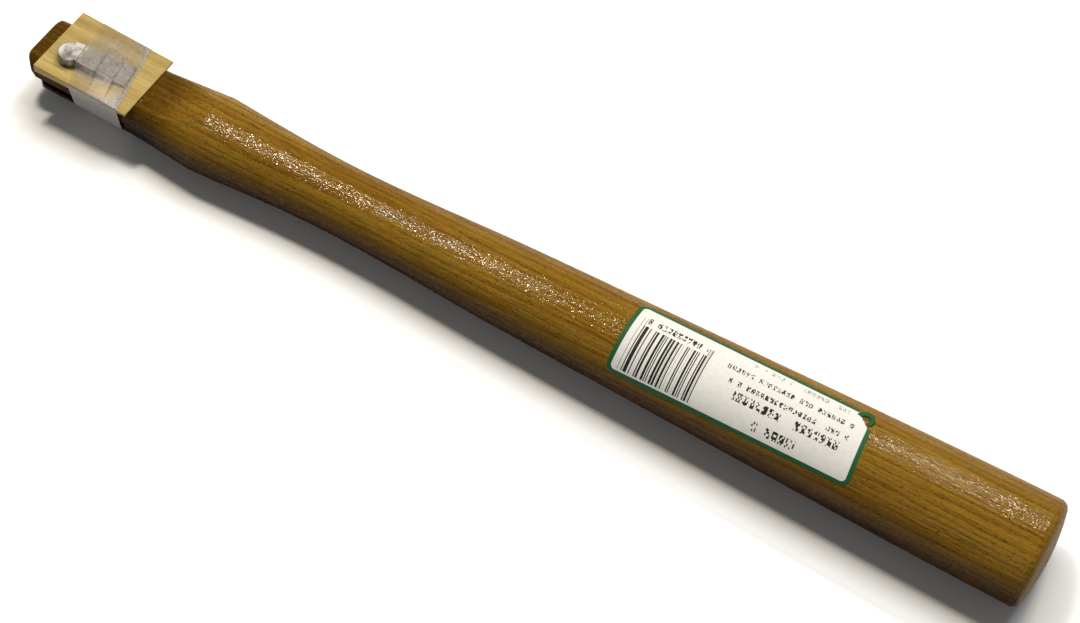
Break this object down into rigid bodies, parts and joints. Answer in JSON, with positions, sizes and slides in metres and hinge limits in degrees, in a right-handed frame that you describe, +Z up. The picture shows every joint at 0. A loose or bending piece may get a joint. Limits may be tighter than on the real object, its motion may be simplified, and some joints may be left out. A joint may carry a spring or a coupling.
{
  "type": "hammer handle",
  "caption": "Replacement hickory hammer handle with an oval kerfed tenon, and a wood wedge and a steel wedge taped to it.",
  "frame": {"origin": "middle of the tenon's end, on the handle's axis", "axes": "+X from the tenon's end down the handle to the butt, +Z up through the two wedges, +Y across the wide side"},
  "size_m": [0.3556, 0.0366, 0.029],
  "materials": {
    "lacquered_hickory": "gloss lacquer over flame-browned grain",
    "pale_poplar": "bare sawn wood",
    "bright_steel": "bright, lightly tumbled",
    "clear_film": "clear adhesive film",
    "label_paper": "semi-gloss printed paper"
  },
  "bodies": {
    "root": {"handle": "lacquered_hickory", "wood_wedge": "pale_poplar", "steel_wedge": "bright_steel", "tape_band": "clear_film", "label": "label_paper"}
  },
  "joints": []
}
